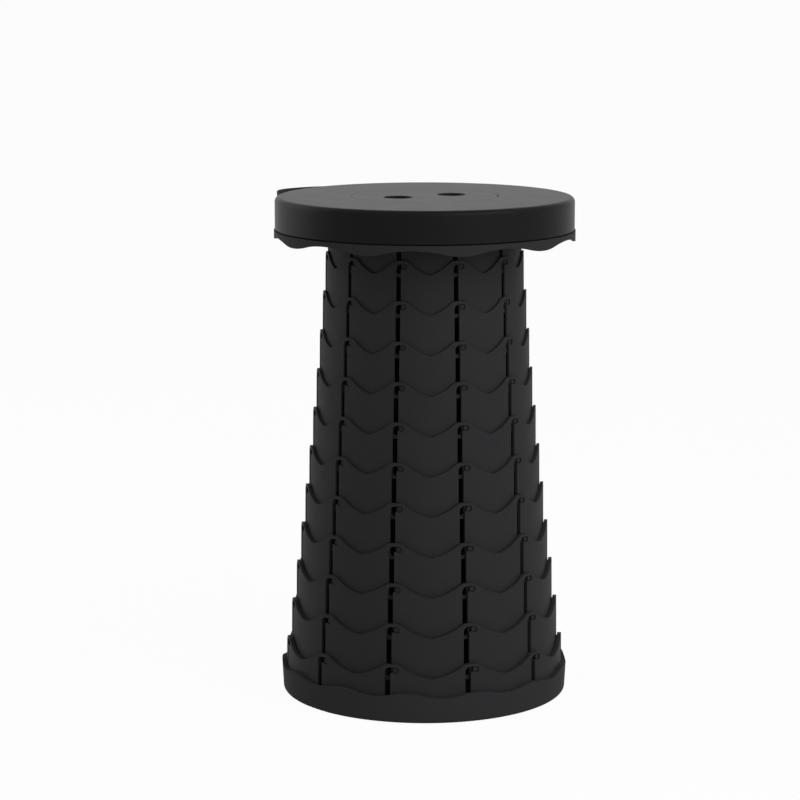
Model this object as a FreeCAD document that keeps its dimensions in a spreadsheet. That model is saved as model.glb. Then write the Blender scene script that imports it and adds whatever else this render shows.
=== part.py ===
import FreeCAD, Part
import math
import os
import Sketcher
from FreeCAD import Placement, Rotation, Vector

# Collapsible telescopic stool, millimetres, +Z up.
# The origin lies on the stool's axis, on the floor. The photographed front faces -Y.
# The stool stands drawn out to its full height. Every ring slides down by one stage to fold.

# Driving sizes in millimetres and degrees
SIZES = {
    # Stages
    "stage_travel": 35.0,
    "ring_height": 49.5,
    "valley_height": 37.1,
    "first_radius": 88.5,
    "radial_step": 2.49,
    "step_growth": 0.118,
    "draft_angle": 0.6,
    "slide_play": 0.35,
    "play_growth": 0.05,
    "seat_ring_wall": 2.0,
    "pattern_turn": -11.9,
    # Scalloped top edge of a ring
    "crest_radius": 7.5,
    "crest_flat": 6.0,
    "crest_turn": -2.0,
    "valley_slope": 18.0,
    "slope_drop": 0.9,
    "cut_beyond": 4.0,
    # Hooked slot and pegs
    "slot_width": 4.3,
    "slot_growth": 0.09,
    "slot_foot": 3.0,
    "peg_diameter": 3.9,
    "peg_growth": 0.1,
    "peg_height": 9.3,
    "peg_angle": 3.4,
    "peg_clearance": 0.3,
    "hook_play": 0.4,
    "hook_bend": 2.4,
    "ledge_skin": 0.8,
    "tip_play": 0.3,
    # Base
    "pad_proud": 0.6,
    "pad_recess": 0.8,
    "pad_diameter": 18.0,
    "pad_circle": 112.0,
    "pad_fit": 0.15,
    "floor_thickness": 1.9,
    "base_radius": 129.84,
    "base_foot_radius": 128.6,
    "base_corner": 3.0,
    "base_rim_high": 27.2,
    "base_rim_low": 23.5,
    "base_wave_radius": 50.0,
    "base_wave_turn": 6.5,
    "ring_fit": 0.15,
    "base_catch": 1.2,
    # Seat frame
    "fold_gap": 1.5,
    "plate_thickness": 2.5,
    "plate_opening": 60.0,
    "lid_play": 0.4,
    "frame_wall": 1.5,
    "skirt_radius": 134.5,
    "skirt_wall": 2.2,
    "skirt_top": 29.7,
    "skirt_step": 2.0,
    "skirt_high": 34.0,
    "skirt_low": 39.0,
    "skirt_wave_radius": 60.0,
    "skirt_wave_turn": 13.3,
    "rim_flat": 2.0,
    "collar_height": 13.0,
    "collar_wall": 2.2,
    # Seat cap
    "seat_height": 450.0,
    "seat_radius": 133.7,
    "band_fit": 0.1,
    "band_gap": 0.2,
    "band_corner": 1.6,
    "seat_rim": 4.5,
    "cap_thickness": 3.0,
    "cap_ledge": 2.5,
    "cap_ledge_width": 5.0,
    "boss_diameter": 9.0,
    "boss_root": 0.5,
    # Seat screws
    "screw_circle": 72.0,
    "screw_turn": 30.0,
    "screw_diameter": 3.5,
    "screw_length": 8.0,
    "screw_play": 0.5,
    "pilot_play": 0.1,
    "pilot_depth": 0.5,
    "screw_head": 7.0,
    "screw_head_flat": 4.2,
    "screw_head_side": 0.8,
    "screw_head_height": 2.2,
    "driver_width": 1.2,
    "driver_reach": 2.1,
    "driver_depth": 1.2,
    # Centre disc
    "disc_radius": 66.0,
    "disc_thickness": 2.6,
    "disc_play": 0.3,
    "finger_hole": 25.0,
    "finger_spacing": 54.0,
    "finger_turn": 28.0,
    "finger_chamfer": 0.8,
    "notch_width": 6.0,
    "notch_depth": 1.6,
    "clip_width": 8.0,
    "clip_thickness": 1.8,
    "clip_nib": 1.4,
    "clip_nib_height": 1.5,
    "clip_root": 0.3,
    # Carry strap and its rivets
    "strap_width": 18.0,
    "strap_thickness": 1.6,
    "strap_stand": 1.05,
    "strap_drop": 16.0,
    "rivet_angle": 104.0,
    "rivet_shank": 4.0,
    "rivet_play": 0.2,
    "rivet_head": 9.0,
    "rivet_dome": 1.6,
    "rivet_edge": 0.6,
    "rivet_crown": 3.6,
    "rivet_tail": 7.0,
    "rivet_tail_height": 1.7,
    "rivet_start": 124.0,
}
# Strap from the left rivet round the back to the right one.
# Each station: azimuth, middle's distance from the seat's side, rise above the rivets.
STRAP_STATIONS = [
    (-100.3, 1.05, 0.0), (-102.2, 1.05, 0.0), (-104.0, 1.05, 0.0), (-105.5, 1.05, 0.0),
    (-107.0, 1.86, 0.5), (-108.5, 3.89, 1.7), (-110.0, 6.5, 3.2), (-111.5, 9.16, 4.7),
    (-113.0, 11.2, 5.9), (-114.5, 12.0, 6.4), (-128.0, 11.7, 6.0), (-143.0, 10.1, 4.9),
    (-162.0, 9.2, 3.6), (-180.0, 9.1, 2.5), (-198.0, 9.2, 1.3), (-217.0, 10.1, 0.5),
    (-232.0, 11.7, 0.2), (-245.5, 12.0, 0.0), (-247.0, 11.2, 0.0), (-248.5, 9.16, 0.0),
    (-250.0, 6.5, 0.0), (-251.5, 3.89, 0.0), (-253.0, 1.86, 0.0), (-254.5, 1.05, 0.0),
    (-256.0, 1.05, 0.0), (-257.8, 1.05, 0.0), (-259.7, 1.05, 0.0),
]
STRAP_STEPS = 120
OUTER_RING = 11
HOOKS = 11
SKIRT_WAVES = 10
BASE_WAVES = 13
PADS = 8
SCREWS = 6
CLIPS = 6


class Size:
    """A length or angle that knows its value and its spreadsheet expression."""

    def __init__(self, value, text):
        self.value = value
        self.text = text

    @staticmethod
    def of(other):
        if isinstance(other, Size):
            return other
        return Size(float(other), repr(float(other)))

    def join(self, other, sign, value):
        return Size(value, "(%s %s %s)" % (self.text, sign, other.text))

    def __add__(self, other):
        other = Size.of(other)
        return self.join(other, "+", self.value + other.value)

    def __sub__(self, other):
        other = Size.of(other)
        return self.join(other, "-", self.value - other.value)

    def __mul__(self, other):
        other = Size.of(other)
        return self.join(other, "*", self.value * other.value)

    def __truediv__(self, other):
        other = Size.of(other)
        return self.join(other, "/", self.value / other.value)

    def __neg__(self):
        return Size(-self.value, "(-1 * %s)" % self.text)


def sine(angle):
    return Size(math.sin(math.radians(angle.value)), "sin(%s)" % angle.text)


def cosine(angle):
    return Size(math.cos(math.radians(angle.value)), "cos(%s)" % angle.text)


def tangent(angle):
    return Size(math.tan(math.radians(angle.value)), "tan(%s)" % angle.text)


def root(size):
    return Size(math.sqrt(size.value), "sqrt(%s)" % size.text)


doc = FreeCAD.newDocument("telescopic_stool")
sheet = doc.addObject("Spreadsheet::Sheet", "Sizes")
for row, (alias, number) in enumerate(SIZES.items(), 1):
    sheet.set("A%d" % row, alias)
    sheet.set("B%d" % row, str(number))
    sheet.setAlias("B%d" % row, alias)
doc.recompute()


def size(alias):
    return Size(SIZES[alias], "Sizes." + alias)


ZERO = Size(0.0, "0")


# Sketching

def lock(sketch, axis, geometry, position, where):
    """Holds one coordinate of a sketch point at a size measured from the origin."""
    if where is ZERO:
        line = -2 if axis == "X" else -1
        sketch.addConstraint(Sketcher.Constraint("PointOnObject", geometry, position, line))
        return
    if where.value >= 0:
        ends = (-1, 1, geometry, position)
        where_along = where
    else:
        ends = (geometry, position, -1, 1)
        where_along = -where
    index = sketch.addConstraint(Sketcher.Constraint("Distance" + axis, *ends, where_along.value))
    sketch.setExpression("Constraints[%d]" % index, where_along.text)


def flat(point):
    return Vector(point[0].value, point[1].value, 0)


def outline(sketch, path):
    """Draws a closed outline. Each item: point, coordinates to hold, piece up to the next point."""
    ends = []
    for number, (point, held, piece) in enumerate(path):
        after = path[(number + 1) % len(path)][0]
        if piece[0] == "line":
            geometry = sketch.addGeometry(Part.LineSegment(flat(point), flat(after)), False)
            ends.append((geometry, 1, 2))
            continue
        centre, radius, turn, arc_held = piece[1:]
        start = flat(point) - flat(centre)
        stop = flat(after) - flat(centre)
        if turn == "right":
            start, stop = stop, start
        first = math.atan2(start.y, start.x)
        last = math.atan2(stop.y, stop.x)
        if last <= first:
            last += 2 * math.pi
        circle = Part.Circle(flat(centre), Vector(0, 0, 1), radius.value)
        geometry = sketch.addGeometry(Part.ArcOfCircle(circle, first, last), False)
        ends.append((geometry, 2, 1) if turn == "right" else (geometry, 1, 2))
        if "x" in arc_held:
            lock(sketch, "X", geometry, 3, centre[0])
        if "y" in arc_held:
            lock(sketch, "Y", geometry, 3, centre[1])
        if "r" in arc_held:
            index = sketch.addConstraint(Sketcher.Constraint("Radius", geometry, radius.value))
            sketch.setExpression("Constraints[%d]" % index, radius.text)
    for number, (point, held, piece) in enumerate(path):
        before = ends[number - 1]
        here = ends[number]
        sketch.addConstraint(Sketcher.Constraint("Coincident", before[0], before[2], here[0], here[1]))
        if "x" in held:
            lock(sketch, "X", here[0], here[1], point[0])
        if "y" in held:
            lock(sketch, "Y", here[0], here[1], point[1])


def polygon(sketch, points):
    outline(sketch, [(point, "xy", ("line",)) for point in points])


def circle(sketch, across, up, diameter):
    shape = Part.Circle(Vector(across.value, up.value, 0), Vector(0, 0, 1), diameter.value / 2)
    geometry = sketch.addGeometry(shape, False)
    lock(sketch, "X", geometry, 3, across)
    lock(sketch, "Y", geometry, 3, up)
    index = sketch.addConstraint(Sketcher.Constraint("Diameter", geometry, diameter.value))
    sketch.setExpression("Constraints[%d]" % index, diameter.text)


# Features of a body

def new_body(label, height=ZERO, turn=ZERO):
    body = doc.addObject("PartDesign::Body", label)
    body.Label = label
    body.Placement = Placement(Vector(0, 0, height.value), Rotation(Vector(0, 0, 1), turn.value))
    if height is not ZERO:
        body.setExpression("Placement.Base.z", height.text)
    if turn is not ZERO:
        body.setExpression("Placement.Rotation.Angle", turn.text)
    return body


def plane_of(body, role):
    return next(item for item in body.Origin.OriginFeatures if item.Role == role)


def new_sketch(body, role, label, out=ZERO, turn=ZERO):
    """A sketch on an origin plane, moved out along its normal and turned about the body's axis."""
    sketch = body.newObject("Sketcher::SketchObject", body.Name + "_" + label)
    sketch.AttachmentSupport = [(plane_of(body, role), "")]
    sketch.MapMode = "FlatFace"
    axis = Vector(0, 0, 1) if role == "XY_Plane" else Vector(0, 1, 0)
    rotation = Rotation(axis, turn.value)
    sketch.AttachmentOffset = Placement(rotation.multVec(Vector(0, 0, out.value)), rotation)
    if turn is not ZERO:
        sketch.setExpression("AttachmentOffset.Rotation.Angle", turn.text)
    if out is not ZERO and (turn is ZERO or role == "XY_Plane"):
        sketch.setExpression("AttachmentOffset.Base.z", out.text)
    elif out is not ZERO:
        sketch.setExpression("AttachmentOffset.Base.x", (out * sine(turn)).text)
        sketch.setExpression("AttachmentOffset.Base.z", (out * cosine(turn)).text)
    return sketch


def checked(body, feature, grows):
    """Makes the feature the body's tip and refuses one that failed or changed nothing."""
    body.Tip = feature
    doc.recompute()
    if "Invalid" in feature.State or "Error" in feature.State:
        raise RuntimeError("feature failed: " + feature.Name)
    base = feature.BaseFeature
    if base is not None:
        change = feature.Shape.Volume - base.Shape.Volume
        if (change > 0) != grows or abs(change) < 0.01:
            raise RuntimeError("feature changes nothing: %s %.4f" % (feature.Name, change))
    return feature


def revolve(body, sketch, label, sweep=360.0):
    feature = body.newObject("PartDesign::Revolution", body.Name + "_" + label)
    feature.Profile = sketch
    feature.ReferenceAxis = (sketch, ["V_Axis"])
    feature.Angle = sweep
    feature.Midplane = True
    return checked(body, feature, True)


def pad(body, sketch, label, length, backwards=False, middle=False):
    feature = body.newObject("PartDesign::Pad", body.Name + "_" + label)
    feature.Profile = sketch
    feature.Length = length.value
    feature.setExpression("Length", length.text)
    feature.Reversed = backwards
    feature.Midplane = middle
    return checked(body, feature, True)


def pocket(body, sketch, label, length=None, reverse=True, middle=False):
    feature = body.newObject("PartDesign::Pocket", body.Name + "_" + label)
    feature.Profile = sketch
    if length is None:
        feature.Type = "ThroughAll"
    else:
        feature.Length = length.value
        feature.setExpression("Length", length.text)
    feature.Reversed = reverse
    feature.Midplane = middle
    return checked(body, feature, False)


def repeat(body, features, label, count, grows=False):
    pattern = body.newObject("PartDesign::PolarPattern", body.Name + "_" + label)
    pattern.Refine = False
    pattern.Originals = features
    pattern.Axis = (plane_of(body, "Z_Axis"), [""])
    pattern.Angle = 360.0
    pattern.Occurrences = count
    return checked(body, pattern, grows)


def repeat_whole(body, label, count):
    """Copies the sector made so far around the axis and joins the copies."""
    pattern = body.newObject("PartDesign::PolarPattern", body.Name + "_" + label)
    pattern.TransformMode = "Whole shape"
    pattern.Axis = (plane_of(body, "Z_Axis"), [""])
    pattern.Angle = 360.0
    pattern.Occurrences = count
    return checked(body, pattern, True)


# Ring sizes

def outer_radius(ring, height=None):
    """Outer radius of a ring at its top edge, or at a height above its bottom."""
    stage = ring - 1
    top = size("first_radius") + size("radial_step") * stage + size("step_growth") * stage ** 2
    if height is None:
        return top
    return top + (size("ring_height") - height) * tangent(size("draft_angle"))


def wall(ring):
    if ring == 0:
        return size("seat_ring_wall")
    play = size("slide_play") + size("play_growth") * (ring - 1)
    slope = size("stage_travel") * tangent(size("draft_angle"))
    return outer_radius(ring) - outer_radius(ring - 1) - play - slope


def peg_diameter(ring):
    return size("peg_diameter") + size("peg_growth") * ring


def hook_height():
    return size("peg_height") + size("stage_travel")


def floor_top():
    return size("pad_proud") + size("floor_thickness")


def ring_foot(ring):
    """Height of a ring's bottom with every stage drawn out."""
    return floor_top() + size("stage_travel") * (OUTER_RING - ring)


def base_wall_inside():
    return outer_radius(OUTER_RING, ZERO) + size("ring_fit")


def groove_radius(ring):
    """Depth to which a ring is relieved inside, measured from the axis."""
    return outer_radius(ring, hook_height()) - size("ledge_skin")


def wave(sketch, radius, waves, crest, valley, round_radius, slope, flat_length):
    """One crest between two valleys, seen square to the axis, closed beyond the crest."""
    reach = radius * sine(Size.of(180.0 / waves))
    sign = 1 if crest.value > valley.value else -1
    arm = reach - flat_length / 2
    drop = (crest - valley) * sign - round_radius
    top = arm * arm + drop * drop - round_radius * round_radius
    bottom = (round_radius + drop * cosine(slope) - arm * sine(slope)) * 2
    bow = top / bottom
    hub_x = reach + bow * sine(slope)
    hub_y = valley + bow * cosine(slope) * sign
    share = round_radius / (round_radius + bow)
    crest_x = flat_length / 2
    crest_hub = crest - round_radius * sign
    closing = crest + size("cut_beyond") * sign
    meet_x = crest_x + (hub_x - crest_x) * share
    meet_y = crest_hub + (hub_y - crest_hub) * share
    beyond = reach + size("cut_beyond")
    over = "right" if sign > 0 else "left"
    under = "left" if sign > 0 else "right"
    outline(sketch, [
        ((-beyond, valley), "xy", ("line",)),
        ((-reach, valley), "xy", ("arc", (-hub_x, hub_y), bow, under, "x")),
        ((-meet_x, meet_y), "x", ("arc", (-crest_x, crest_hub), round_radius, over, "xyr")),
        ((-crest_x, crest), "x", ("line",)),
        ((crest_x, crest), "x", ("arc", (crest_x, crest_hub), round_radius, over, "xyr")),
        ((meet_x, meet_y), "x", ("arc", (hub_x, hub_y), bow, under, "x")),
        ((reach, valley), "xy", ("line",)),
        ((beyond, valley), "xy", ("line",)),
        ((beyond, closing), "xy", ("line",)),
        ((-beyond, closing), "xy", ("line",)),
    ])


def hook_outline(sketch, ring):
    """Slot that runs up beside the peg line and bends over into a round pocket."""
    width = size("slot_width") + size("slot_growth") * (ring - 1)
    aside = -(outer_radius(ring) * sine(size("peg_angle")))
    left = aside - width / 2
    right = aside + width / 2
    peg = peg_diameter(ring - 1)
    foot = size("slot_foot") + width / 2
    pocket_radius = peg / 2 + size("hook_play")
    middle = hook_height() + size("hook_play") - size("peg_clearance")
    top = middle + pocket_radius
    bend = width / 2 + size("hook_bend")
    lip = Size.of(215.0)
    lip_x = pocket_radius * cosine(lip)
    lip_y = middle + pocket_radius * sine(lip)
    outline(sketch, [
        ((left, foot), "y", ("arc", (aside, foot), width / 2, "left", "xyr")),
        ((right, foot), "y", ("line",)),
        ((right, middle - pocket_radius), "xy", ("line",)),
        ((lip_x, lip_y), "y", ("arc", (ZERO, middle), pocket_radius, "left", "xyr")),
        ((ZERO, top), "x", ("line",)),
        ((left + bend, top), "x", ("arc", (left + bend, top - bend), bend, "left", "xyr")),
        ((left, top - bend), "y", ("line",)),
    ])


def make_ring(ring, label):
    """One telescoping ring, its bottom at its own height zero, a peg facing -Y."""
    body = new_body(label, ring_foot(ring), size("pattern_turn"))
    height = size("ring_height")
    thickness = wall(ring)

    section = new_sketch(body, "YZ_Plane", "section", turn=size("crest_turn"))
    polygon(section, [
        (thickness - outer_radius(ring, ZERO), ZERO),
        (-outer_radius(ring, ZERO), ZERO),
        (-outer_radius(ring), height),
        (thickness - outer_radius(ring), height),
    ])
    revolve(body, section, "wall", 360.0 / HOOKS)

    scallop = new_sketch(body, "XZ_Plane", "scallop", turn=size("crest_turn"))
    slope = size("valley_slope") - size("slope_drop") * ring
    wave(scallop, outer_radius(ring), HOOKS, height, size("valley_height"), size("crest_radius"),
         slope, size("crest_flat"))
    pocket(body, scallop, "scallop_cut")

    root_radius = outer_radius(ring, size("peg_height")) - thickness / 2
    if ring > 0:
        root_radius = groove_radius(ring)
    tip_radius = base_wall_inside() + size("base_catch")
    if ring < OUTER_RING:
        tip_radius = groove_radius(ring + 1) - size("tip_play")
    peg = new_sketch(body, "XZ_Plane", "peg", out=root_radius)
    circle(peg, ZERO, size("peg_height"), peg_diameter(ring))
    pad(body, peg, "peg_pad", tip_radius - root_radius)

    hook = new_sketch(body, "XZ_Plane", "hook")
    hook_outline(hook, max(ring, 1))
    pocket(body, hook, "hook_cut")

    if ring > 0:
        groove = new_sketch(body, "XZ_Plane", "relief")
        half = peg_diameter(ring - 1) / 2 + size("peg_clearance")
        low = size("peg_height")
        outline(groove, [
            ((-half, low), "y", ("arc", (ZERO, low), half, "left", "xyr")),
            ((half, low), "y", ("line",)),
            ((half, hook_height()), "xy", ("line",)),
            ((-half, hook_height()), "xy", ("line",)),
        ])
        pocket(body, groove, "relief_cut", groove_radius(ring))
    repeat_whole(body, "around", HOOKS)
    return body


# Base

def make_base_shell():
    body = new_body("base_shell")
    foot = size("pad_proud")
    corner = size("base_corner")
    foot_radius = size("base_foot_radius")
    high = size("base_rim_high")
    section = new_sketch(body, "XZ_Plane", "section")
    outline(section, [
        ((ZERO, foot), "xy", ("line",)),
        ((foot_radius - corner, foot), "x", ("arc", (foot_radius - corner, foot + corner), corner, "left", "xyr")),
        ((foot_radius, foot + corner), "y", ("line",)),
        ((size("base_radius"), high), "xy", ("line",)),
        ((base_wall_inside(), high), "xy", ("line",)),
        ((base_wall_inside(), floor_top()), "xy", ("line",)),
        ((ZERO, floor_top()), "xy", ("line",)),
    ])
    revolve(body, section, "dish")

    rim = new_sketch(body, "XZ_Plane", "rim", turn=size("base_wave_turn") + 180.0 / BASE_WAVES)
    wave(rim, size("base_radius"), BASE_WAVES, high, size("base_rim_low"), size("base_wave_radius"),
         ZERO, size("rim_flat"))
    repeat(body, [pocket(body, rim, "rim_cut")], "rim_waves", BASE_WAVES)

    catch = new_sketch(body, "XZ_Plane", "catch", turn=size("pattern_turn"))
    circle(catch, ZERO, floor_top() + size("peg_height"),
           peg_diameter(OUTER_RING) + size("peg_clearance") * 2)
    depth = base_wall_inside() + size("base_catch") + size("tip_play")
    repeat(body, [pocket(body, catch, "catch_cut", depth)], "catches", HOOKS)

    recess = new_sketch(body, "XY_Plane", "recess")
    circle(recess, ZERO, -size("pad_circle"), size("pad_diameter"))
    cut = pocket(body, recess, "recess_cut", size("pad_proud") + size("pad_recess"))
    repeat(body, [cut], "recesses", PADS)
    middle_recess = new_sketch(body, "XY_Plane", "middle_recess")
    circle(middle_recess, ZERO, ZERO, size("pad_diameter"))
    pocket(body, middle_recess, "middle_cut", size("pad_proud") + size("pad_recess"))


def make_foot_pads():
    body = new_body("foot_pads")
    round_pad = new_sketch(body, "XY_Plane", "round")
    circle(round_pad, ZERO, -size("pad_circle"), size("pad_diameter") - size("pad_fit") * 2)
    pad(body, round_pad, "disc", size("pad_proud") + size("pad_recess"))
    repeat_whole(body, "around", PADS)
    middle_pad = new_sketch(body, "XY_Plane", "middle")
    circle(middle_pad, ZERO, ZERO, size("pad_diameter") - size("pad_fit") * 2)
    pad(body, middle_pad, "middle_disc", size("pad_proud") + size("pad_recess"))


# Seat

def plate_low():
    return floor_top() + size("ring_height") + size("fold_gap") + size("stage_travel") * OUTER_RING


def plate_top():
    return plate_low() + size("plate_thickness")


def frame_inside():
    return size("base_radius") + size("lid_play")


def frame_outside():
    return frame_inside() + size("frame_wall")


def below_seat(alias):
    return size("seat_height") - size(alias)


def band_inside():
    return frame_outside() + size("band_fit")


def screw_hole(body, label, height, diameter, length):
    hole = new_sketch(body, "XY_Plane", label, out=height, turn=size("screw_turn"))
    circle(hole, ZERO, -size("screw_circle"), diameter)
    repeat(body, [pocket(body, hole, label + "_cut", length)], label + "s", SCREWS)


def rivet_holes(body):
    """Two round holes, square to the side, for the rivets of the carry strap."""
    length = size("seat_radius") + size("strap_stand") - size("rivet_start")
    for side, turn in (("left", -size("rivet_angle")), ("right", size("rivet_angle"))):
        hole = new_sketch(body, "XZ_Plane", "rivet_" + side, out=size("rivet_start"), turn=turn)
        circle(hole, ZERO, below_seat("strap_drop"), size("rivet_shank") + size("rivet_play"))
        pocket(body, hole, "rivet_%s_cut" % side, length)


def make_seat_frame():
    body = new_body("seat_frame")
    collar_outside = outer_radius(0) - wall(0) - size("ring_fit")
    collar_inside = collar_outside - size("collar_wall")
    collar_low = plate_low() - size("collar_height")
    skirt_inside = size("skirt_radius") - size("skirt_wall")
    skirt_top = below_seat("skirt_top")
    skirt_low = below_seat("skirt_low")
    section = new_sketch(body, "XZ_Plane", "section")
    polygon(section, [
        (size("skirt_radius"), skirt_low),
        (size("skirt_radius"), skirt_top),
        (frame_outside(), skirt_top),
        (frame_outside(), plate_top()),
        (size("plate_opening"), plate_top()),
        (size("plate_opening"), plate_low()),
        (collar_inside, plate_low()),
        (collar_inside, collar_low),
        (collar_outside, collar_low),
        (collar_outside, plate_low()),
        (frame_inside(), plate_low()),
        (frame_inside(), skirt_top - size("skirt_step")),
        (skirt_inside, skirt_top - size("skirt_step")),
        (skirt_inside, skirt_low),
    ])
    revolve(body, section, "lid")

    skirt = new_sketch(body, "XZ_Plane", "skirt", turn=size("skirt_wave_turn"))
    wave(skirt, size("skirt_radius"), SKIRT_WAVES, skirt_low, below_seat("skirt_high"),
         size("skirt_wave_radius"), ZERO, size("rim_flat"))
    repeat(body, [pocket(body, skirt, "skirt_cut")], "skirt_waves", SKIRT_WAVES)

    root_radius = collar_outside - size("collar_wall") / 2
    peg = new_sketch(body, "XZ_Plane", "peg", out=root_radius, turn=size("pattern_turn"))
    circle(peg, ZERO, ring_foot(0) + hook_height(), peg_diameter(0))
    length = groove_radius(0) - size("tip_play") - root_radius
    repeat(body, [pad(body, peg, "peg_pad", length)], "pegs", HOOKS, grows=True)
    free_fit = size("screw_diameter") + size("screw_play")
    screw_hole(body, "screw_hole", plate_low(), free_fit, size("plate_thickness"))
    rivet_holes(body)


def make_seat_cap():
    body = new_body("seat_cap")
    low = below_seat("skirt_top") + size("band_gap")
    corner = size("band_corner")
    rim = size("seat_rim")
    radius = size("seat_radius")
    top = size("seat_height")
    under = top - size("cap_thickness")
    seat_low = top - size("disc_thickness")
    ledge_low = seat_low - size("cap_ledge")
    ledge_inside = size("disc_radius") - size("cap_ledge_width")
    ledge_outside = size("disc_radius") + size("cap_ledge")
    section = new_sketch(body, "XZ_Plane", "section")
    outline(section, [
        ((band_inside(), low), "xy", ("line",)),
        ((radius - corner, low), "x", ("arc", (radius - corner, low + corner), corner, "left", "xyr")),
        ((radius, low + corner), "y", ("line",)),
        ((radius, top - rim), "y", ("arc", (radius - rim, top - rim), rim, "left", "xyr")),
        ((radius - rim, top), "x", ("line",)),
        ((size("disc_radius"), top), "xy", ("line",)),
        ((size("disc_radius"), seat_low), "xy", ("line",)),
        ((ledge_inside, seat_low), "xy", ("line",)),
        ((ledge_inside, ledge_low), "xy", ("line",)),
        ((ledge_outside, ledge_low), "xy", ("line",)),
        ((ledge_outside, under), "xy", ("line",)),
        ((band_inside(), under), "xy", ("line",)),
    ])
    revolve(body, section, "shell")

    boss = new_sketch(body, "XY_Plane", "boss", out=plate_top(), turn=size("screw_turn"))
    circle(boss, ZERO, -size("screw_circle"), size("boss_diameter"))
    boss_height = under + size("boss_root") - plate_top()
    repeat(body, [pad(body, boss, "boss_pad", boss_height)], "bosses", SCREWS, grows=True)
    pilot_length = size("screw_length") - size("plate_thickness") + size("pilot_depth")
    tight_fit = size("screw_diameter") + size("pilot_play")
    screw_hole(body, "pilot", plate_top(), tight_fit, pilot_length)
    rivet_holes(body)


def make_centre_disc():
    body = new_body("centre_disc")
    top = size("seat_height")
    low = top - size("disc_thickness")
    radius = size("disc_radius") - size("disc_play")
    section = new_sketch(body, "XZ_Plane", "section")
    polygon(section, [(ZERO, low), (radius, low), (radius, top), (ZERO, top)])
    revolve(body, section, "plate")

    holes = new_sketch(body, "XY_Plane", "fingers", out=low)
    across = size("finger_spacing") / 2 * cosine(size("finger_turn"))
    along = size("finger_spacing") / 2 * sine(size("finger_turn"))
    circle(holes, across, along, size("finger_hole"))
    circle(holes, -across, -along, size("finger_hole"))
    cut = pocket(body, holes, "finger_cut")
    edges = []
    for number, edge in enumerate(cut.Shape.Edges, 1):
        curve = edge.Curve
        if isinstance(curve, Part.Circle) and abs(curve.Radius - size("finger_hole").value / 2) < 1e-6:
            if abs(curve.Center.z - top.value) < 1e-6:
                edges.append("Edge%d" % number)
    soften = body.newObject("PartDesign::Chamfer", "centre_disc_soften")
    soften.Base = (cut, edges)
    soften.Size = size("finger_chamfer").value
    soften.setExpression("Size", size("finger_chamfer").text)
    checked(body, soften, False)

    notch = new_sketch(body, "XY_Plane", "notch", out=top)
    half = size("notch_width") / 2
    inner = radius - size("notch_depth")
    outer = radius + size("cut_beyond")
    polygon(notch, [(inner, -half), (outer, -half), (outer, half), (inner, half)])
    pocket(body, notch, "notch_cut", size("notch_depth"), reverse=False)

    ledge_inside = size("disc_radius") - size("cap_ledge_width")
    outside = ledge_inside - size("disc_play") * 2
    inside = outside - size("clip_thickness")
    under = low - size("cap_ledge") - size("disc_play") / 2
    nib_low = under - size("clip_nib_height")
    root_height = low + size("clip_root")
    clip = new_sketch(body, "YZ_Plane", "clip")
    polygon(clip, [
        (-inside, root_height),
        (-inside, nib_low),
        (-(outside + size("clip_nib")), nib_low),
        (-(outside + size("clip_nib")), under),
        (-outside, under),
        (-outside, root_height),
    ])
    arm = pad(body, clip, "clip_pad", size("clip_width"), middle=True)
    repeat(body, [arm], "clips", CLIPS, grows=True)


def make_seat_screws():
    body = new_body("seat_screws", turn=size("screw_turn"))
    ring = size("screw_circle")
    head_low = plate_low() - size("screw_head_height")
    end = plate_low() + size("screw_length")
    head = size("screw_head") / 2
    flat_radius = size("screw_head_flat") / 2
    side_low = plate_low() - size("screw_head_side")
    shank = size("screw_diameter") / 2
    section = new_sketch(body, "YZ_Plane", "section")
    polygon(section, [
        (-ring, head_low),
        (-(ring + flat_radius), head_low),
        (-(ring + head), side_low),
        (-(ring + head), plate_low()),
        (-(ring + shank), plate_low()),
        (-(ring + shank), end - shank),
        (-ring, end),
    ])
    axis = Part.LineSegment(Vector(-ring.value, head_low.value, 0), Vector(-ring.value, end.value, 0))
    line = section.addGeometry(axis, True)
    section.addConstraint(Sketcher.Constraint("Coincident", line, 1, 0, 1))
    section.addConstraint(Sketcher.Constraint("Vertical", line))
    lock(section, "Y", line, 2, end)
    turned = body.newObject("PartDesign::Revolution", "seat_screws_turned")
    turned.Profile = section
    turned.ReferenceAxis = (section, ["Axis0"])
    turned.Angle = 360.0
    checked(body, turned, True)

    drive = new_sketch(body, "XY_Plane", "drive", out=head_low)
    half = size("driver_width") / 2
    arm = size("driver_reach")
    polygon(drive, [
        (-half, -(ring + arm)), (half, -(ring + arm)), (half, -(ring + half)), (arm, -(ring + half)),
        (arm, -(ring - half)), (half, -(ring - half)), (half, -(ring - arm)), (-half, -(ring - arm)),
        (-half, -(ring - half)), (-arm, -(ring - half)), (-arm, -(ring + half)), (-half, -(ring + half)),
    ])
    pocket(body, drive, "drive_cut", size("driver_depth"))
    repeat_whole(body, "around", SCREWS)


def make_strap_rivets():
    body = new_body("strap_rivets")
    face = size("seat_radius") + size("strap_stand") + size("strap_thickness") / 2 + size("rivet_play") / 2
    crown = face + size("rivet_dome")
    tail = frame_inside() - size("rivet_play")
    shank = size("rivet_shank") / 2
    for side, turn in (("left", -size("rivet_angle")), ("right", size("rivet_angle"))):
        profile = new_sketch(body, "XY_Plane", side, out=below_seat("strap_drop"), turn=turn)
        polygon(profile, [
            (ZERO, -crown),
            (ZERO, size("rivet_tail_height") - tail),
            (size("rivet_tail") / 2, size("rivet_tail_height") - tail),
            (size("rivet_tail") / 2, -tail),
            (shank, -tail),
            (shank, -face),
            (size("rivet_head") / 2, -face),
            (size("rivet_head") / 2, -(face + size("rivet_edge"))),
            (size("rivet_crown") / 2, -crown),
        ])
        revolve(body, profile, side + "_turned")


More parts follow.
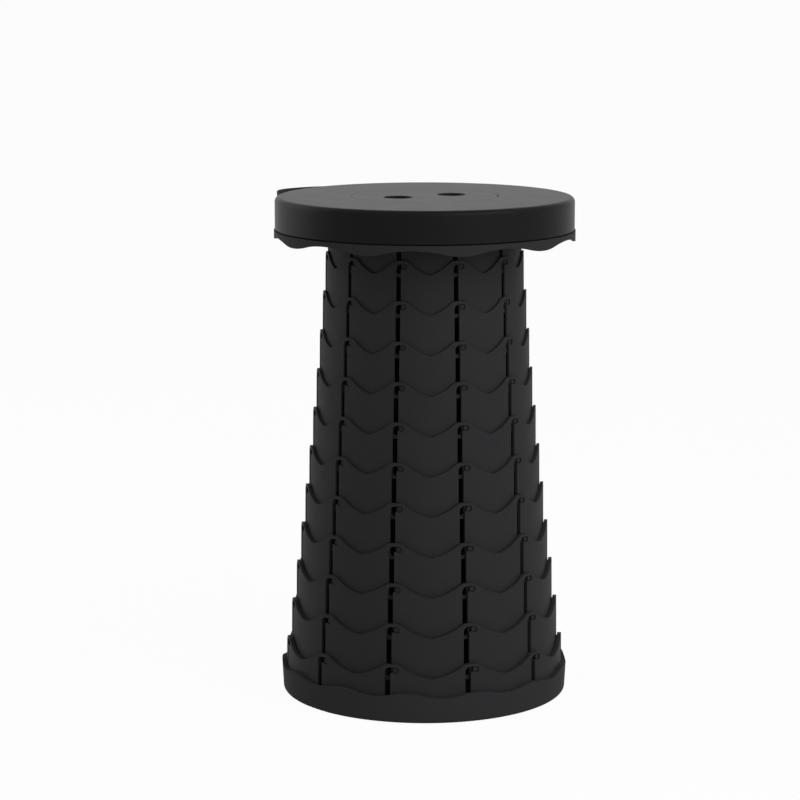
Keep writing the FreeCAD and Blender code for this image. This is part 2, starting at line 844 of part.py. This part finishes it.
def radial_hole(turn):
    """A round bar square to the seat's side at a rivet, as wide as the rivet's hole."""
    out = Vector(math.sin(turn), -math.cos(turn), 0)
    start = out * SIZES["rivet_start"]
    start.z = below_seat("strap_drop").value
    radius = (SIZES["rivet_shank"] + SIZES["rivet_play"]) / 2
    length = SIZES["seat_radius"] + SIZES["strap_width"] - SIZES["rivet_start"]
    return Part.makeCylinder(radius, length, start, out)


def make_carry_strap():
    """A flat band of webbing on edge that follows the stations round the back of the seat."""
    points = []
    for azimuth, stand, rise in STRAP_STATIONS:
        turn = math.radians(azimuth)
        radius = SIZES["seat_radius"] + stand
        height = below_seat("strap_drop").value + rise
        points.append(Vector(radius * math.sin(turn), -radius * math.cos(turn), height))
    path = Part.BSplineCurve()
    path.interpolate(points)
    rows = {"in_low": [], "out_low": [], "out_high": [], "in_high": []}
    first, last = path.FirstParameter, path.LastParameter
    for step in range(STRAP_STEPS + 1):
        at = first + (last - first) * step / STRAP_STEPS
        point = path.value(at)
        along = path.tangent(at)[0]
        across = Vector(-along.y, along.x, 0).normalize() * (SIZES["strap_thickness"] / 2)
        if across.dot(Vector(point.x, point.y, 0)) < 0:
            across = -across
        up = Vector(0, 0, SIZES["strap_width"] / 2)
        rows["in_low"].append(point - across - up)
        rows["out_low"].append(point + across - up)
        rows["out_high"].append(point + across + up)
        rows["in_high"].append(point - across + up)
    edges = []
    for row in rows.values():
        curve = Part.BSplineCurve()
        curve.interpolate(row)
        edges.append(curve.toShape())
    faces = [Part.makeRuledSurface(edges[number - 1], edges[number]) for number in range(4)]
    for end in (0, -1):
        corners = [row[end] for row in rows.values()]
        faces.append(Part.Face(Part.makePolygon(corners + corners[:1])))
    shell = Part.makeShell(faces)
    shell.sewShape()
    band = Part.Solid(Part.Shell(shell.Faces))
    if band.Volume < 0:
        band.reverse()
    for turn in (-SIZES["rivet_angle"], SIZES["rivet_angle"]):
        band = band.cut(radial_hole(math.radians(turn)))
    strap = doc.addObject("Part::Feature", "carry_strap")
    strap.Label = "carry_strap"
    strap.Shape = band.Solids[0]


make_base_shell()
make_foot_pads()
for ring in range(OUTER_RING, 0, -1):
    make_ring(ring, "ring_%02d" % ring)
make_ring(0, "seat_ring")
make_seat_frame()
make_seat_cap()
make_centre_disc()
make_seat_screws()
make_strap_rivets()
make_carry_strap()

doc.recompute()
bodies = [item for item in doc.Objects if item.TypeId in ("PartDesign::Body", "Part::Feature")]
for item in doc.Objects:
    if "Invalid" in item.State or "Error" in item.State:
        raise RuntimeError("failed: %s %s" % (item.Name, item.State))
for body in bodies:
    if body.Shape.isNull() or not body.Shape.isValid():
        raise RuntimeError("bad shape: " + body.Label)

os.makedirs("parts", exist_ok=True)
for body in bodies:
    body.Shape.exportStep("parts/%s.step" % body.Label)
    print("%-14s %2d solids %9.0f mm3" % (body.Label, len(body.Shape.Solids), body.Shape.Volume))
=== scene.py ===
import math

import bpy
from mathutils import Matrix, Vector


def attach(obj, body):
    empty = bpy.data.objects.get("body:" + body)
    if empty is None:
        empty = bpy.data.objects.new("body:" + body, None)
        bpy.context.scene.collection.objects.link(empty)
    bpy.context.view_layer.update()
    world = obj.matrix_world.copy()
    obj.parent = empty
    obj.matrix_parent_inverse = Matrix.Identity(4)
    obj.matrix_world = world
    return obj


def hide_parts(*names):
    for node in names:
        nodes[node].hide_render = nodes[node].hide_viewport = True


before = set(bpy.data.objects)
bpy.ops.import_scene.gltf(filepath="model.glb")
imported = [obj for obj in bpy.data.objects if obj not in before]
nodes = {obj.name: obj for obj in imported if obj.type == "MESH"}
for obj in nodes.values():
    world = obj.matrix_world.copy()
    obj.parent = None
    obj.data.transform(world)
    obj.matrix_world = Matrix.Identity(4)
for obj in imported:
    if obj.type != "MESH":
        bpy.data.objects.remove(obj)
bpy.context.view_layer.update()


# Camera, where the photograph was taken from

# Place in metres, tilt in degrees (90 is level) and lens in millimetres
CAMERA_PLACE = (-0.02202, -2.4338, 0.6878)
CAMERA_TILT = 80.153
CAMERA_LENS = 123.2

bpy.ops.object.select_all(action="DESELECT")
bpy.ops.object.camera_add(location=CAMERA_PLACE, rotation=(math.radians(CAMERA_TILT), 0, 0))
camera = bpy.context.object
camera.data.lens = CAMERA_LENS
camera.data.sensor_width = 36.0
camera.data.clip_end = 50.0
bpy.context.scene.camera = camera


# Materials

# Widths in millimetres: cloudy patches in a moulding, fuzz on webbing and bloom on zinc plate
MOTTLE = 28
FUZZ = 6
BLOOM = 3
# Width of a webbing thread in millimetres
THREAD = 1.1


def linear(colour):
    """A written sRGB colour such as #2a2a2c as linear red, green, blue and alpha."""
    parts = [int(colour[place:place + 2], 16) / 255 for place in (1, 3, 5)]
    lights = [part / 12.92 if part <= 0.04045 else ((part + 0.055) / 1.055) ** 2.4 for part in parts]
    return lights + [1.0]


def per_metre(millimetres):
    """Texture scale on coordinates in metres that makes features this many millimetres wide."""
    return 1000.0 / millimetres


def add(material, kind, settings=None, links=None):
    """A node with its own settings, socket values and incoming links."""
    new = material.node_tree.nodes.new(kind)
    for name, value in (settings or {}).items():
        if isinstance(name, int) or name in new.inputs:
            new.inputs[name].default_value = value
        else:
            setattr(new, name, value)
    for name, source in (links or {}).items():
        material.node_tree.links.new(source, new.inputs[name])
    return new


def new_material(name):
    material = bpy.data.materials.new(name)
    material.use_nodes = True
    material.node_tree.nodes.clear()
    return material


def moulded_plastic(name, dark, light, roughness, patchy, specular, grain, grain_height):
    """Plastic or rubber with a matt skin, faintly mottled and finely pitted.

    grain is the width of the pits and grain_height their depth, in millimetres. Real pits are
    finer, and are drawn this coarse so that they can show.
    """
    material = new_material(name)
    place = add(material, "ShaderNodeTexCoord").outputs["Object"]
    mottle = add(material, "ShaderNodeTexNoise",
                 {"Scale": per_metre(MOTTLE), "Detail": 3.0, "Roughness": 0.55}, {"Vector": place})
    tint = add(material, "ShaderNodeMix", {"data_type": "RGBA", 6: linear(dark), 7: linear(light)},
               {"Factor": mottle.outputs["Fac"]})
    pits = add(material, "ShaderNodeTexNoise",
               {"Scale": per_metre(grain), "Detail": 2.0, "Roughness": 0.6}, {"Vector": place})
    sheen = add(material, "ShaderNodeMapRange",
                {"From Min": 0.3, "From Max": 0.7,
                 "To Min": roughness - patchy, "To Max": roughness + patchy},
                {"Value": mottle.outputs["Fac"]})
    bump = add(material, "ShaderNodeBump", {"Strength": 0.35, "Distance": grain_height / 1000.0},
               {"Height": pits.outputs["Fac"]})
    shader = add(material, "ShaderNodeBsdfPrincipled", {"IOR": 1.49, "Specular IOR Level": specular},
                 {"Base Color": tint.outputs[2], "Roughness": sheen.outputs["Result"],
                  "Normal": bump.outputs["Normal"]})
    add(material, "ShaderNodeOutputMaterial", links={"Surface": shader.outputs["BSDF"]})
    return material


def woven_webbing(name, dark, light):
    """Polypropylene webbing: rounded threads that cross over and under in small checks."""
    material = new_material(name)
    cloth = add(material, "ShaderNodeTexCoord").outputs["UV"]
    # From here on one thread is one unit wide
    laid = add(material, "ShaderNodeMapping", {"Scale": (per_metre(THREAD), per_metre(THREAD), 1.0)},
               {"Vector": cloth}).outputs["Vector"]
    over = add(material, "ShaderNodeTexChecker", {"Scale": 1.0}, {"Vector": laid})
    # At this scale a wave repeats once in each unit
    once = math.pi / 10
    warp, weft = [
        add(material, "ShaderNodeTexWave", {"bands_direction": way, "Scale": once, "Distortion": 0.3},
            {"Vector": laid}).outputs["Fac"]
        for way in ("Y", "X")
    ]
    threads = add(material, "ShaderNodeMix", {"data_type": "FLOAT"},
                  {"Factor": over.outputs["Fac"], 2: warp, 3: weft}).outputs["Result"]
    fuzz = add(material, "ShaderNodeTexNoise", {"Scale": per_metre(FUZZ), "Detail": 4.0}, {"Vector": cloth})
    depth = add(material, "ShaderNodeMath", {"operation": "MULTIPLY_ADD", 1: 0.35},
                {0: fuzz.outputs["Fac"], 2: threads})
    # The raised crowns of the threads are painted paler: a painted highlight, not a second colour of thread
    tint = add(material, "ShaderNodeMix", {"data_type": "RGBA", 6: linear(dark), 7: linear(light)},
               {"Factor": threads})
    bump = add(material, "ShaderNodeBump", {"Strength": 0.7, "Distance": 0.0003},
               {"Height": depth.outputs["Value"]})
    shader = add(material, "ShaderNodeBsdfPrincipled",
                 {"Roughness": 0.8, "Specular IOR Level": 0.2, "Sheen Weight": 0.15, "Sheen Roughness": 0.5},
                 {"Base Color": tint.outputs[2], "Normal": bump.outputs["Normal"]})
    add(material, "ShaderNodeOutputMaterial", links={"Surface": shader.outputs["BSDF"]})
    return material


def zinc_plate(name, dark, light):
    """Zinc plated steel: a faint cloudy bloom makes its shine come and go over a few millimetres."""
    material = new_material(name)
    place = add(material, "ShaderNodeTexCoord").outputs["Object"]
    bloom = add(material, "ShaderNodeTexNoise", {"Scale": per_metre(BLOOM), "Detail": 3.0}, {"Vector": place})
    dulled = add(material, "ShaderNodeMapRange", {"To Min": 0.25, "To Max": 0.5},
                 {"Value": bloom.outputs["Fac"]})
    tint = add(material, "ShaderNodeMix", {"data_type": "RGBA", 6: linear(dark), 7: linear(light)},
               {"Factor": bloom.outputs["Fac"]})
    shader = add(material, "ShaderNodeBsdfPrincipled", {"Metallic": 1.0},
                 {"Base Color": tint.outputs[2], "Roughness": dulled.outputs["Result"]})
    add(material, "ShaderNodeOutputMaterial", links={"Surface": shader.outputs["BSDF"]})
    return material


def dress(node, material):
    """Gives a CAD solid, or a copy of one, a finish in place of its plain colour."""
    node.data.materials.clear()
    node.data.materials.append(material)


# Satin mould finish: the pits blur reflections, so the walls look soft and nearly black
ring_plastic = moulded_plastic("moulded polypropylene ring", "#2a2a2c", "#2e2e2f", roughness=0.61,
                               patchy=0.04, specular=0.045, grain=0.7, grain_height=0.05)
# The seat is blacker than the rings, and only its flat top picks up the white surroundings
seat_plastic = moulded_plastic("moulded polypropylene seat", "#151516", "#171718", roughness=0.38,
                               patchy=0.01, specular=0.06, grain=0.9, grain_height=0.012)
# The skirt is finished as the rings are
skirt_plastic = moulded_plastic("moulded polypropylene skirt", "#2a2a2c", "#2e2e2f", roughness=0.61,
                                patchy=0.04, specular=0.045, grain=0.7, grain_height=0.05)
# The base comes from a coarser mould. Its colour is a shade lighter than the rings', painted light thrown up
# by the floor
base_plastic = moulded_plastic("moulded polypropylene base", "#2f2f31", "#333334", roughness=0.65,
                               patchy=0.04, specular=0.02, grain=0.9, grain_height=0.06)
# Soft rubber under the base, dead matt
pad_rubber = moulded_plastic("moulded rubber pad", "#0e0e0f", "#131314", roughness=0.85,
                             patchy=0.03, specular=0.1, grain=1.2, grain_height=0.1)
# Zinc plate is the only bright metal, on screws and rivets
zinc = zinc_plate("zinc plated steel", "#a3a6a9", "#bec1c3")
# Black webbing, its threads painted a little paler where they ride up, a painted highlight on their crowns
webbing = woven_webbing("woven webbing", "#08080a", "#161618")
# Polyester sewing thread, matt black and slightly smoother than the webbing
thread = moulded_plastic("twisted sewing thread", "#141416", "#1e1e20", roughness=0.7,
                         patchy=0.05, specular=0.25, grain=0.3, grain_height=0.05)

for fasteners in ("seat_screws", "strap_rivets"):
    dress(nodes[fasteners], zinc)


# Mouldings with the small round edges that a mould leaves

# Angles in degrees: facets joined under FLAT, edges rounded over SHARP, shading smooth under SMOOTH
FLAT = 1.0
SHARP = 50
SMOOTH = 35
# Points of the CAD mesh nearer than this many metres are one point
WELD = 0.00001

MOULDINGS = [
    # node, body, slot, finish, rounding in millimetres
    ("base_shell", "base", "base_plastic", base_plastic, 0.5),
    ("foot_pads", "base", "pad_rubber", pad_rubber, 0.5),
    ("ring_11", "base", "ring_plastic", ring_plastic, 0.4),
    ("seat_ring", "seat", "ring_plastic", ring_plastic, 0.4),
    ("seat_frame", "seat", "skirt_plastic", skirt_plastic, 0.3),
    ("seat_cap", "seat", "seat_plastic", seat_plastic, 0.4),
    ("centre_disc", "seat", "seat_plastic", seat_plastic, 0.3),
]
for number in range(1, 11):
    ring = "ring_%02d" % number
    MOULDINGS.append((ring, ring, "ring_plastic", ring_plastic, 0.4))


def finish_modifier(piece, kind, **settings):
    modifier = piece.modifiers.new(kind.lower(), kind)
    for name, value in settings.items():
        setattr(modifier, name, value)
    bpy.context.view_layer.objects.active = piece
    bpy.ops.object.modifier_apply(modifier=modifier.name)


def softened(node, rounding):
    """A copy of a CAD moulding, its flat facets joined again and its sharp edges rounded."""
    bpy.ops.object.select_all(action="DESELECT")
    piece = bpy.data.objects.new(node + "_moulding", nodes[node].data.copy())
    bpy.context.collection.objects.link(piece)
    piece.select_set(True)
    bpy.context.view_layer.objects.active = piece
    bpy.ops.object.mode_set(mode="EDIT")
    bpy.ops.mesh.select_all(action="SELECT")
    bpy.ops.mesh.remove_doubles(threshold=WELD)
    bpy.ops.mesh.dissolve_limited(angle_limit=math.radians(FLAT))
    bpy.ops.object.mode_set(mode="OBJECT")
    finish_modifier(piece, "BEVEL", width=rounding / 1000, segments=2, limit_method="ANGLE",
                    angle_limit=math.radians(SHARP))
    bpy.ops.object.shade_smooth_by_angle(angle=math.radians(SMOOTH))
    finish_modifier(piece, "WEIGHTED_NORMAL", keep_sharp=True, weight=100)
    return piece


# The CAD mouldings stay as they are, hidden, and these copies stand for them
for node, body, slot, finish, rounding in MOULDINGS:
    piece = softened(node, rounding)
    dress(piece, finish)
    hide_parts(node)
    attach(piece, body)


# Carry strap: webbing on edge, round the back of the seat between its two rivets

# Width and thickness of the webbing, and rounding of its edges, in metres
STRAP_WIDTH = 0.018
STRAP_THICK = 0.0015
STRAP_EDGE = 0.0004
# Cells of the webbing along and across it, and its own angles in degrees
STRAP_CELLS = (380, 8)
STRAP_SHARP = 60
STRAP_SMOOTH = 40
# Where the middle of the webbing lies against the seat, in millimetres from the axis and floor
SNUG = 134.75
LEVEL = 434.0
# Azimuth from the front in degrees, distance from the axis and height in millimetres
STRAP_ROUTE = [
    (-100.3, SNUG, LEVEL), (-102.2, SNUG, LEVEL), (-104.0, SNUG, LEVEL), (-105.5, SNUG, LEVEL),
    (-107.0, 135.56, 434.5), (-108.5, 137.59, 435.7), (-110.0, 140.2, 437.2),
    (-111.5, 142.86, 438.7), (-113.0, 144.9, 439.9), (-114.5, 145.7, 440.4),
    (-128.0, 145.4, 440.0), (-143.0, 143.8, 438.9), (-162.0, 142.9, 437.6),
    (-180.0, 142.8, 436.5), (-198.0, 142.9, 435.3), (-217.0, 143.8, 434.5),
    (-232.0, 145.4, 434.2), (-245.5, 145.7, LEVEL), (-247.0, 144.9, LEVEL),
    (-248.5, 142.86, LEVEL), (-250.0, 140.2, LEVEL), (-251.5, 137.59, LEVEL),
    (-253.0, 135.56, LEVEL), (-254.5, SNUG, LEVEL), (-256.0, SNUG, LEVEL),
    (-257.8, SNUG, LEVEL), (-259.7, SNUG, LEVEL),
]


def around(azimuth, radius, height):
    """A point from its azimuth, distance from the axis and height, in degrees and millimetres."""
    turn = math.radians(azimuth)
    return Vector((radius * math.sin(turn), -radius * math.cos(turn), height)) / 1000


def strap_route():
    """The line that the middle of the strap follows, and its length in metres."""
    bpy.ops.object.select_all(action="DESELECT")
    bpy.ops.curve.primitive_bezier_curve_add()
    route = bpy.context.object
    route.data.twist_mode = "Z_UP"
    route.data.resolution_u = 24
    spline = route.data.splines[0]
    spline.bezier_points.add(len(STRAP_ROUTE) - len(spline.bezier_points))
    for bend, place in zip(spline.bezier_points, STRAP_ROUTE):
        bend.handle_left_type = "AUTO"
        bend.handle_right_type = "AUTO"
        bend.co = around(*place)
    bpy.context.view_layer.update()
    return route, spline.calc_length(resolution=64)


def webbing_strap():
    """A flat strip of webbing, stood on edge and bent along the route."""
    route, length = strap_route()
    along, across = STRAP_CELLS
    bpy.ops.object.select_all(action="DESELECT")
    bpy.ops.mesh.primitive_grid_add(x_subdivisions=along, y_subdivisions=across, size=1.0,
                                    location=(0, 0, 0))
    strap = bpy.context.object
    strap.name = "carry_strap_webbing"
    bpy.ops.object.mode_set(mode="EDIT")
    bpy.ops.mesh.select_all(action="SELECT")
    bpy.ops.transform.resize(value=(length, STRAP_WIDTH, 1.0))
    bpy.ops.transform.translate(value=(length / 2, 0, 0))
    bpy.ops.transform.rotate(value=math.radians(-90), orient_axis="X", center_override=(0, 0, 0))
    bpy.ops.object.mode_set(mode="OBJECT")
    # The weave is laid out in metres of cloth
    for corner in strap.data.uv_layers.active.data:
        corner.uv = (corner.uv[0] * length, corner.uv[1] * STRAP_WIDTH)
    finish_modifier(strap, "SOLIDIFY", thickness=STRAP_THICK, offset=0.0)
    finish_modifier(strap, "BEVEL", width=STRAP_EDGE, segments=2, limit_method="ANGLE",
                    angle_limit=math.radians(STRAP_SHARP))
    finish_modifier(strap, "CURVE", object=route, deform_axis="POS_X")
    bpy.data.objects.remove(route)
    bpy.ops.object.shade_smooth_by_angle(angle=math.radians(STRAP_SMOOTH))
    strap.data.materials.append(webbing)
    return strap


strap = webbing_strap()
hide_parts("carry_strap")
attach(strap, "seat")


# A bar of stitches near each end keeps the cut webbing from fraying

STITCHES = 7
# Millimetres from one stitch to the next, and from the axis to the outer face of the webbing
STITCH_PITCH = 2.3
STITCH_DISTANCE = SNUG + STRAP_THICK * 1000 / 2
# Half a stitch's length in metres, its thickness as a share of that, and its slant in degrees
STITCH_HALF = 0.001
STITCH_THIN = 0.28
STITCH_SLANT = 14


def stitch(place):
    """One slanted stitch, long and thin, half sunk in the webbing's outer face."""
    bpy.ops.mesh.primitive_uv_sphere_add(segments=12, ring_count=8, radius=STITCH_HALF, location=place)
    bpy.ops.object.mode_set(mode="EDIT")
    bpy.ops.mesh.select_all(action="SELECT")
    bpy.ops.transform.resize(value=(STITCH_THIN, STITCH_THIN, 1.0))
    bpy.ops.transform.rotate(value=math.radians(STITCH_SLANT), orient_axis="X", center_override=place)
    bpy.ops.object.mode_set(mode="OBJECT")
    return bpy.context.object


def stitch_row(side, azimuth):
    """The stitches at one end of the strap, one above another, as one piece."""
    bpy.ops.object.select_all(action="DESELECT")
    heights = [LEVEL + (number - (STITCHES - 1) / 2) * STITCH_PITCH for number in range(STITCHES)]
    row = [stitch(around(azimuth, STITCH_DISTANCE, height)) for height in heights]
    for one in row:
        one.select_set(True)
    bpy.context.view_layer.objects.active = row[0]
    bpy.ops.object.join()
    bpy.ops.object.transform_apply(location=True, rotation=True, scale=True)
    stitching = bpy.context.object
    stitching.name = "strap_stitches_" + side
    bpy.ops.object.shade_smooth()
    stitching.data.materials.append(thread)
    return stitching


for side, azimuth in (("left", -101.2), ("right", 101.2)):
    stitching = stitch_row(side, azimuth)
    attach(stitching, "seat")


# Floor, backdrop and light

# Side of the floor in metres, and the share of plain white in what the camera sees of it
FLOOR_SIZE = 60.0
FLOOR_WHITE = 0.96
# Brightness of the white surroundings as light on the stool: seen directly they are 1
SKY_LIGHT = 0.28
# The lamps face this point, half way up the stool, in metres
STOOL_MIDDLE = (0, 0, 0.25)
LAMPS = [
    # name, place in metres, size in metres, watts
    ("key_panel", (1.5, -1.6, 1.5), 2.4, 44.0),
    ("left_panel", (-1.8, 0.5, 0.9), 1.4, 10.0),
]


def pale_paper(name):
    """Pale paper that keeps shadows, and looks almost white to the camera and in reflections."""
    material = new_material(name)
    seen = add(material, "ShaderNodeLightPath")
    paper = add(material, "ShaderNodeBsdfDiffuse", {"Color": linear("#f6f6f6")})
    glow = add(material, "ShaderNodeEmission", {"Color": linear("#ffffff"), "Strength": 1.0})
    eye = add(material, "ShaderNodeMath", {"operation": "MAXIMUM"},
              {0: seen.outputs["Is Camera Ray"], 1: seen.outputs["Is Glossy Ray"]})
    share = add(material, "ShaderNodeMath", {"operation": "MULTIPLY", 1: FLOOR_WHITE},
                {0: eye.outputs["Value"]})
    both = add(material, "ShaderNodeMixShader",
               links={"Fac": share.outputs["Value"], 1: paper.outputs["BSDF"],
                      2: glow.outputs["Emission"]})
    add(material, "ShaderNodeOutputMaterial", links={"Surface": both.outputs["Shader"]})
    return material


def white_studio(name):
    """White surroundings that light the object softly and show as plain white behind it."""
    world = bpy.data.worlds.new(name)
    world.use_nodes = True
    world.node_tree.nodes.clear()
    path = add(world, "ShaderNodeLightPath")
    shown = add(world, "ShaderNodeMath", {"operation": "MAXIMUM"},
                {0: path.outputs["Is Camera Ray"], 1: path.outputs["Is Glossy Ray"]})
    shown_through = add(world, "ShaderNodeMath", {"operation": "MAXIMUM"},
                        {0: shown.outputs["Value"], 1: path.outputs["Is Transmission Ray"]})
    strength = add(world, "ShaderNodeMapRange", {"To Min": SKY_LIGHT, "To Max": 1.0},
                   {"Value": shown_through.outputs["Value"]})
    sky = add(world, "ShaderNodeBackground", {"Color": linear("#ffffff")},
              {"Strength": strength.outputs["Result"]})
    add(world, "ShaderNodeOutputWorld", links={"Surface": sky.outputs["Background"]})
    return world


bpy.ops.object.select_all(action="DESELECT")
bpy.ops.mesh.primitive_plane_add(size=FLOOR_SIZE, location=(0, 0, 0))
floor = bpy.context.object
floor.name = "floor"
floor.data.materials.append(pale_paper("pale paper floor"))

bpy.context.scene.world = white_studio("white studio")

for name, place, span, power in LAMPS:
    aim = (Vector(STOOL_MIDDLE) - Vector(place)).to_track_quat("-Z", "Y").to_euler()
    bpy.ops.object.light_add(type="AREA", location=place, rotation=aim)
    lamp = bpy.context.object
    lamp.name = name
    lamp.data.size = span
    lamp.data.energy = power

bpy.context.scene.view_settings.view_transform = "Standard"
